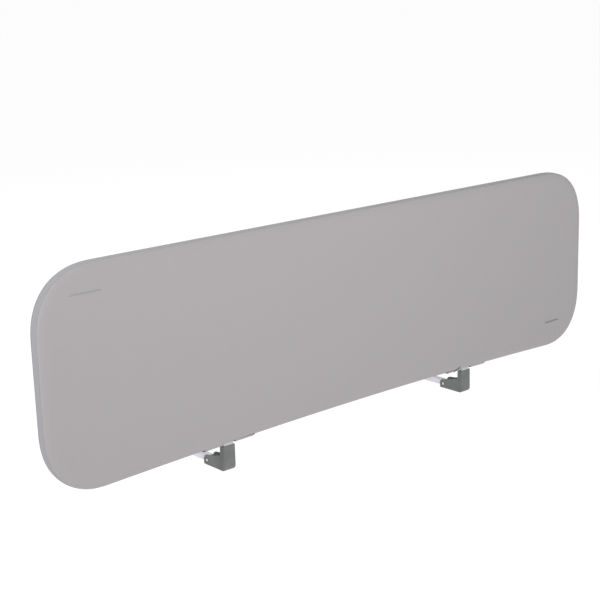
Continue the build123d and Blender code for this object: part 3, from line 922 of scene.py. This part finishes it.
        low, top = self.outline.rows()
        columns = len(low)
        side = self.outline.side_steps
        inner = loop - out * self.roll[-1][0]
        low_in = inner[:columns]
        top_in = inner[columns + side - 1:2 * columns + side - 1][::-1]
        right_in = np.concatenate([low_in[-1:], inner[columns:columns + side - 1], top_in[-1:]])
        left_in = np.concatenate([low_in[:1], inner[2 * columns + side - 1:][::-1], top_in[:1]])
        share = np.linspace(0, 1, side + 1)[:, None, None]
        field_xz = low_in[None] * (1 - share) + top_in[None] * share
        across = np.linspace(0, 1, columns)[None, :, None]
        straight = field_xz[:, :1] * (1 - across) + field_xz[:, -1:] * across
        wanted = left_in[:, None] * (1 - across) + right_in[:, None] * across
        field_xz = field_xz + (wanted - straight)
        sink = self.pull(field_xz[..., 0], field_xz[..., 1], facing)
        inside = np.stack([field_xz[..., 0], plane - facing * sink, field_xz[..., 1]], -1)
        inside = inside[1:-1, 1:-1]
        points = np.concatenate([strip, inside.reshape(-1, 3)])

        def index(row: int, column: int) -> int:
            """Vertex of the face grid, whose rim is the strip's last ring.

            Args:
                row: Row, from the bottom.
                column: Column, from the left.

            Returns:
                Its number in the mesh.
            """
            if row == 0:
                around = column
            elif row == side:
                around = 2 * columns + side - 2 - column
            elif column == 0:
                around = 2 * columns + 2 * side - 2 - row
            elif column == columns - 1:
                around = columns + row - 1
            else:
                return count * rows + (row - 1) * (columns - 2) + column - 1
            return (around % count) * rows + rows - 1

        faces = grid_faces(count, rows, wrap=True)
        for r in range(side):
            for c in range(columns - 1):
                faces.append((index(r, c), index(r, c + 1), index(r + 1, c + 1), index(r + 1, c)))
        if facing > 0:
            faces = [f[::-1] for f in faces]
        piece = new_piece(name, points, faces)
        write_cut(piece, points[:, [0, 2]])
        return piece

    def band_sheet(self, name: str) -> bpy.types.Object:
        """The gusset band between the two seams, open where the posts come through.

        Args:
            name: Name of the piece.

        Returns:
            The band.
        """
        loop = self.outline.loop()
        out = self.outline.outward(loop)
        gather = {1: self.puckers(loop, -11.0), len(self.band) - 2: self.puckers(loop, 11.0)}
        rings = []
        for k, (inset, depth) in enumerate(self.band):
            lift = gather[k] * self.pucker if k in gather else 0.0
            flat = loop - out * (inset + np.zeros(len(loop)) + lift)[:, None]
            rings.append(np.stack([flat[:, 0], np.full(len(loop), self.front_y + depth), flat[:, 1]], 1))
        points = np.stack(rings, 1).reshape(-1, 3)
        rows = len(self.band)
        faces = grid_faces(len(loop), rows, wrap=True)
        faces = [f[::-1] for f in faces if not self.in_post_slot(points[list(f)].mean(0))]
        piece = new_piece(name, points, faces)
        run = np.concatenate([[0], np.cumsum(self.outline.steps(loop))[:-1]])
        across = np.array([depth for _, depth in self.band])
        cut = np.stack([np.repeat(run, rows), np.tile(across, len(loop))], 1)
        write_cut(piece, cut)
        return piece

    def seam_tape(self, node: str, facing: float, tape: bpy.types.Material) -> bpy.types.Object:
        """Binding folded over the raw edges inside one seam.

        Args:
            node: The CAD node that it stands for.
            facing: -1 for the front seam and 1 for the back seam.
            tape: Finish of the binding.

        Returns:
            The closed ring of binding.
        """
        loop = self.outline.loop()
        out = self.outline.outward(loop)
        plane = self.front_y if facing < 0 else self.back_y
        rings = []
        for inset, depth in self.tape_section:
            flat = loop - out * inset
            rings.append(np.stack([flat[:, 0], np.full(len(loop), plane - facing * depth), flat[:, 1]], 1))
        points = np.stack(rings, 1).reshape(-1, 3)
        faces = grid_faces(len(loop), len(self.tape_section), wrap=True, closed=True)
        if facing < 0:
            faces = [f[::-1] for f in faces]
        piece = new_piece(f"{node}_tape", points, faces, smooth=False)
        dress(piece, tape)
        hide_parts(node)
        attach(piece, PANEL_BODY)
        return piece

    def in_post_slot(self, middle: np.ndarray) -> bool:
        """Whether a face of the band lies where a post comes through.

        Args:
            middle: The face's middle.

        Returns:
            True where the band is cut away.
        """
        low_side = middle[2] < self.outline.low + self.slot_height
        near = abs(abs(middle[0]) - self.bracket_x) < self.post_half
        return bool(low_side and near and middle[1] < self.post_back + SLOT_EASE)

    def build(
        self, cloth: bpy.types.Material, band_cloth: bpy.types.Material, tape: bpy.types.Material,
    ) -> None:
        """Make the front, the back, the band and the binding in each seam.

        Args:
            cloth: Finish of the two faces.
            band_cloth: Finish of the band.
            tape: Finish of the binding.
        """
        for name, node, facing in (("front_cloth", "cover_front", -1.0), ("back_cloth", "cover_back", 1.0)):
            piece = self.face_sheet(name, facing)
            thicken(piece, self.cloth, levels=1, even=True)
            dress(piece, cloth)
            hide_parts(node)
            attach(piece, PANEL_BODY)
            binding = self.seam_tape(f"{name.split('_')[0]}_seam_binding", facing, tape)
        band = self.band_sheet("gusset_band")
        thicken(band, self.cloth, levels=1, even=True)
        dress(band, band_cloth)
        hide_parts("cover_gusset")
        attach(band, PANEL_BODY)
        round_it = float(self.outline.steps(self.outline.loop()).sum())


@dataclass
class PostFlap:
    """Cloth flap that closes the cover under the hem round one post, over its touch tape.

    Its section and its rows of stitches are given as how far behind the front, then how far over the hem.
    """

    side: Side
    outline: PanelOutline
    low: Vector
    high: Vector
    front_y: float
    post_x: float
    slot_half: float
    slot_back: float
    cloth: float = 0.0009
    columns: int = 61
    section: tuple[tuple[float, float], ...] = (
        (0.0042, 0.0022), (0.0035, 0.0013), (0.0032, 0.0002), (0.0035, -0.0012), (0.0045, -0.0022),
        (0.0062, -0.0026), (0.0090, -0.0027), (0.0140, -0.0027), (0.0190, -0.0027), (0.0215, -0.0026),
        (0.0232, -0.0021), (0.0242, -0.0009), (0.0243, 0.0004), (0.0236, 0.0014),
    )
    tucked_in: float = 0.003
    wave: float = 0.0002
    sag: float = 0.0004
    stitch_rows: tuple[tuple[float, float], ...] = ((0.0068, -0.0027), (0.0208, -0.0027))
    stitch_pitch: float = 0.0034
    stitch_length: float = 0.0024
    thread_radius: float = 0.00024
    thread_sides: int = 6

    def hang(self, x: float) -> float:
        """Height of the hem over one place, with the slight sag of the flap's two ends.

        Args:
            x: Place along the panel.

        Returns:
            Height in the row frame.
        """
        middle, half = (self.low.x + self.high.x) / 2, (self.high.x - self.low.x) / 2
        reach = abs(x - middle) / half
        wave = self.wave * noise.noise(Vector((x * 70, 2.0, 4.0)))
        return self.outline.low + float(self.outline.hem(np.array([x]))[0]) + wave - self.sag * reach ** 6

    def build(self, cloth: bpy.types.Material, thread: bpy.types.Material) -> None:
        """Make the flap, its slot and the stitches round it.

        Args:
            cloth: Finish of the flap.
            thread: Finish of the stitches.
        """
        stations = np.linspace(self.low.x, self.high.x, self.columns)
        edges = [self.post_x - self.slot_half, self.post_x + self.slot_half]
        for edge in edges:
            stations[np.abs(stations - edge).argmin()] = edge
        points, cut = [], []
        for x in stations:
            level, run = self.hang(x), 0.0
            for k, (depth, rise) in enumerate(self.section):
                if k:
                    run += math.dist(self.section[k], self.section[k - 1])
                points.append((x, self.front_y + depth, level + rise))
                cut.append((x, run))
        points = np.array(points)
        faces = []
        for face in grid_faces(self.columns, len(self.section)):
            middle = points[list(face)].mean(0)
            if abs(middle[0] - self.post_x) > self.slot_half or middle[1] > self.slot_back:
                faces.append(face[::-1])
        piece = new_piece(f"{self.side.word}_flap_cloth", points, faces)
        write_cut(piece, np.array(cut))
        thicken(piece, self.cloth, levels=1)
        dress(piece, cloth)
        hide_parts(f"{self.side.word}_cover_flap")
        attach(piece, PANEL_BODY)
        stitches = self.stitches(thread)

    def stitches(self, thread: bpy.types.Material) -> bpy.types.Object:
        """Lock stitches along both long edges of the flap.

        Args:
            thread: Finish of the stitches.

        Returns:
            The stitches, in one piece.
        """
        pitch, length, radius, sides = (
            self.stitch_pitch, self.stitch_length, self.thread_radius, self.thread_sides,
        )
        points, faces = [], []
        count = int((self.high.x - self.low.x - 2 * pitch) / pitch)
        for depth, rise in self.stitch_rows:
            y = self.front_y + depth
            for i in range(count):
                x = self.low.x + pitch * (i + 1.5)
                if abs(x - self.post_x) < self.slot_half + length and y < self.slot_back:
                    continue
                z = self.hang(x) + rise
                start = len(points)
                for end, grow in ((-0.5, 0.35), (-0.25, 1.0), (0.25, 1.0), (0.5, 0.35)):
                    for k in range(sides):
                        turn = math.tau * k / sides
                        points.append((x + end * length, y + radius * grow * math.cos(turn),
                                       z + radius * grow * math.sin(turn)))
                for ring in range(3):
                    for k in range(sides):
                        a, b = start + ring * sides + k, start + ring * sides + (k + 1) % sides
                        faces.append((a, b, b + sides, a + sides))
                faces.append(tuple(start + k for k in reversed(range(sides))))
                faces.append(tuple(start + 3 * sides + k for k in range(sides)))
        piece = new_piece(f"{self.side.word}_flap_stitches", np.array(points), faces)
        dress(piece, thread)
        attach(piece, PANEL_BODY)
        return piece


@dataclass
class TapeTail:
    """Loose end of the right touch tape, which curls up over the hem beside the post.

    Its path is given as place along the panel, how far over the hem, and half the tape's width there.
    """

    path: tuple[tuple[float, float, float], ...] = (
        (0.3020, -0.0024, 0.0010), (0.3058, -0.0010, 0.0015), (0.3094, 0.0002, 0.0019),
        (0.3129, 0.0016, 0.0020), (0.3161, 0.0033, 0.0020), (0.3189, 0.0053, 0.0018),
        (0.3211, 0.0073, 0.0013),
    )
    thickness: float = 0.0007

    def build(self, cover: FabricCover, tape: bpy.types.Material) -> None:
        """Lay the tail on the cloth.

        Args:
            cover: The cover that it lies on.
            tape: Finish of the touch tape.
        """
        insets = [inset for inset, _ in cover.roll[1:]]
        depths = [depth for _, depth in cover.roll[1:]]
        middle = np.array([(x, rise) for x, rise, _ in self.path])
        along = np.gradient(middle, axis=0)
        across = np.stack([-along[:, 1], along[:, 0]], 1) / np.linalg.norm(along, axis=1)[:, None]
        points = []
        for (x, rise), side, (_, _, half) in zip(middle, across, self.path):
            for edge in (-half, 0.0, half):
                place = (x + side[0] * edge, rise + side[1] * edge)
                hem = cover.outline.low + float(cover.outline.hem(np.array([place[0]]))[0])
                sink = float(np.interp(place[1], insets, depths))
                points.append((place[0], cover.front_y + sink - self.thickness, hem + place[1]))
        piece = new_piece("right_tape_tail", np.array(points), grid_faces(len(self.path), 3))
        thicken(piece, self.thickness, levels=2)
        dress(piece, tape)
        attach(piece, PANEL_BODY)


@dataclass
class PlainMark:
    """Plain printed bar that stands where a maker would print a name."""

    name: str
    middle: tuple[float, float]
    length: float
    height: float
    proud: float = 0.00012
    columns: int = 25
    rows: int = 7
    tip_share: float = 0.12

    def build(self, cover: FabricCover, ink: bpy.types.Material) -> None:
        """Lay the bar on the stretched face.

        Args:
            cover: The cover that it is printed on.
            ink: Finish of the print.
        """
        radius = self.height / 2
        points = []
        for u in np.linspace(-1, 1, self.columns):
            x = u * self.length / 2
            past = max(0.0, abs(x) - (self.length / 2 - radius))
            half = math.sqrt(max(radius ** 2 - past ** 2, (self.tip_share * radius) ** 2))
            for v in np.linspace(-1, 1, self.rows):
                points.append((self.middle[0] + x, self.middle[1] + v * half))
        flat = np.array(points)
        sink = cover.pull(flat[:, 0], flat[:, 1], -1.0)
        full = np.stack([flat[:, 0], cover.front_y + sink - self.proud, flat[:, 1]], 1)
        piece = new_piece(self.name, full, grid_faces(self.columns, self.rows))
        thicken(piece, self.proud, levels=0)
        dress(piece, ink)
        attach(piece, PANEL_BODY)


# ---- hard parts -------------------------------------------------------------------------------------------
@dataclass
class HardParts:
    """CAD nodes that keep their shape and get a finish by slot."""

    finishes: dict[Slot, ClothFinish | MouldedFinish | PowderCoatFinish | BareMetalFinish | FibreFinish]

    def dress_nodes(self) -> dict[Slot, bpy.types.Material]:
        """Give every CAD node that stays the material of its slot.

        Returns:
            The material of each slot.
        """
        materials = {slot: finish.material() for slot, finish in self.finishes.items()}
        for entry in frame["record"]["subparts"]:
            slot = Slot(entry["material_slot"])
            if slot not in materials:
                continue
            node = frame["nodes"][entry["node"]]
            node.data.materials.clear()
            node.data.materials.append(materials[slot])
        LOG.info("dressed %d slots", len(materials))
        return materials


# ---- studio -----------------------------------------------------------------------------------------------
@dataclass(frozen=True)
class SoftLight:
    """Rectangular soft box aimed at a point."""

    name: str
    place: tuple[float, float, float]
    target: tuple[float, float, float]
    width: float
    height: float
    power: float
    colour: Colour = (1.0, 1.0, 1.0)

    def hang(self) -> None:
        """Put the light in the scene."""
        lamp = bpy.data.lights.new(self.name, "AREA")
        lamp.shape = "RECTANGLE"
        lamp.size = self.width
        lamp.size_y = self.height
        lamp.energy = self.power
        lamp.color = self.colour
        holder = bpy.data.objects.new(self.name, lamp)
        holder.location = self.place
        aim = Vector(self.target) - Vector(self.place)
        holder.rotation_mode = "QUATERNION"
        holder.rotation_quaternion = aim.to_track_quat("-Z", "Y")
        bpy.context.scene.collection.objects.link(holder)


@dataclass
class Studio:
    """Pale floor, white surroundings, soft boxes and the camera."""

    centre: Vector
    azimuth: float = math.radians(-40.67)
    elevation: float = math.radians(14.15)
    roll: float = math.radians(-1.733)
    distance: float = 2.795
    pan_right: float = 0.1079
    pan_up: float = -0.0194
    lens: float = 80.22
    sky: float = 0.31
    horizon: float = 0.982
    floor_half: float = 60.0
    lights: tuple[SoftLight, ...] = (
        SoftLight("key_box", (-0.34, -2.30, 1.36), (-0.14, -0.17, 0.18), 1.4, 0.9, 28.6),
        SoftLight("end_box", (-2.60, -0.22, 1.75), (-0.75, -0.17, 0.25), 0.8, 0.7, 34.0),
        SoftLight("rear_box", (0.20, 1.90, 2.50), (0.0, -0.17, 0.30), 2.2, 0.9, 48.0),
    )

    def make_camera(self) -> None:
        """Put the camera where the panel is seen from the front left, slightly from above."""
        back = Vector((math.sin(self.azimuth) * math.cos(self.elevation),
                       -math.cos(self.azimuth) * math.cos(self.elevation), math.sin(self.elevation)))
        level = (-back).cross(Vector((0, 0, 1))).normalized()
        upright = level.cross(-back)
        right = level * math.cos(self.roll) + upright * math.sin(self.roll)
        up = upright * math.cos(self.roll) - level * math.sin(self.roll)
        lens = bpy.data.cameras.new("camera")
        lens.lens = self.lens
        lens.sensor_width = 36.0
        lens.clip_end = 200.0
        holder = bpy.data.objects.new("camera", lens)
        place = self.centre + back * self.distance - right * self.pan_right - up * self.pan_up
        turn = Matrix((right, up, back)).transposed()
        holder.matrix_world = Matrix.Translation(place) @ turn.to_4x4()
        bpy.context.scene.collection.objects.link(holder)
        bpy.context.scene.camera = holder

    def make_floor(self) -> None:
        """Lay the pale floor that everything stands on."""
        half = self.floor_half
        points = np.array([(-half, -half, 0), (half, -half, 0), (half, half, 0), (-half, half, 0)], float)
        floor = new_piece("floor", points, [(0, 1, 2, 3)], smooth=False)
        mat = blank_material("floor_paper")
        tree = mat.node_tree
        out = tree.nodes.new("ShaderNodeOutputMaterial")
        out.label = "studio paper"
        paper = tree.nodes.new("ShaderNodeBsdfPrincipled")
        paper.label = "white paper"
        paper.inputs["Base Color"].default_value = (0.12, 0.12, 0.12, 1.0)
        paper.inputs["Roughness"].default_value = 0.95
        paper.inputs["Specular IOR Level"].default_value = 0.0
        paper.inputs["Emission Color"].default_value = (1.0, 1.0, 1.0, 1.0)
        paper.inputs["Emission Strength"].default_value = 0.94
        tree.links.new(paper.outputs["BSDF"], out.inputs["Surface"])
        lay_out(tree)
        floor.data.materials.append(mat)

    def make_surroundings(self) -> None:
        """Set the even white light of the room and the plain view transform."""
        scene = bpy.context.scene
        world = bpy.data.worlds.new("studio")
        world.use_nodes = True
        tree = world.node_tree
        tree.nodes.clear()
        room = tree.nodes.new("ShaderNodeOutputWorld")
        room.label = "room"
        walls = tree.nodes.new("ShaderNodeBackground")
        walls.label = "white walls"
        direction = tree.nodes.new("ShaderNodeTexCoord")
        direction.label = "direction in the room"
        height = tree.nodes.new("ShaderNodeSeparateXYZ")
        height.label = "how high it points"
        dim = tree.nodes.new("ShaderNodeMapRange")
        dim.label = "bright wall, dimmer ceiling"
        dim.inputs["From Min"].default_value = 0.12
        dim.inputs["From Max"].default_value = 0.42
        dim.inputs["To Min"].default_value = self.horizon
        dim.inputs["To Max"].default_value = self.sky
        tree.links.new(direction.outputs["Generated"], height.inputs["Vector"])
        tree.links.new(height.outputs["Z"], dim.inputs["Value"])
        tree.links.new(dim.outputs["Result"], walls.inputs["Strength"])
        tree.links.new(walls.outputs["Background"], room.inputs["Surface"])
        lay_out(tree)
        scene.world = world
        scene.view_settings.view_transform = "Standard"
        scene.view_settings.look = "None"

    def build(self) -> None:
        """Make the whole studio."""
        self.make_camera()
        self.make_floor()
        self.make_surroundings()
        for light in self.lights:
            light.hang()


# ---- assembly ---------------------------------------------------------------------------------------------
def main() -> None:
    """Build every piece in order."""
    front_low, front_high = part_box("cover_front")
    _, back_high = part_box("cover_back")
    post_low, post_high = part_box("right_bracket")
    _, spine_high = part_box("right_spine_tube")
    panel_middle = (front_low + back_high) / 2
    Studio(centre=panel_middle).build()
    LOG.info("studio ready")

    outline = PanelOutline(half_width=front_high.x, low=front_low.z, top=front_high.z)
    post_x = (post_low.x + post_high.x) / 2
    post_back = spine_high.y + POST_WALL
    cover = FabricCover(
        outline=outline, front_y=front_low.y, back_y=back_high.y, bracket_x=post_x,
        post_half=(post_high.x - post_low.x) / 2 + SLOT_EASE, post_back=post_back,
    )
    cloth = COVER_CLOTH.material()
    band_cloth = GUSSET_CLOTH.material()
    thread = THREAD.material()
    cover.build(cloth, band_cloth, BINDING_TAPE.material())
    for side in Side:
        low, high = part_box(f"{side.word}_cover_flap")
        PostFlap(
            side=side, outline=outline, low=low, high=high, front_y=cover.front_y, post_x=side.value * post_x,
            slot_half=cover.post_half, slot_back=post_back + SLOT_EASE,
        ).build(cloth, thread)
    high_mark = PlainMark("plain_mark_top", (-0.6475, panel_middle.z + 0.157), 0.066, 0.0034)
    high_mark.build(cover, PRINT_PALE.material())
    low_mark = PlainMark("plain_mark_low", (0.6460, panel_middle.z - 0.151), 0.050, 0.0040)
    low_mark.build(cover, PRINT_DARK.material())

    materials = HardParts(NODE_FINISHES).dress_nodes()
    TapeTail().build(cover, materials[Slot.TAPE])


if __name__ == "__main__":
    logging.basicConfig(level=logging.INFO, format="%(name)s: %(message)s")
    main()
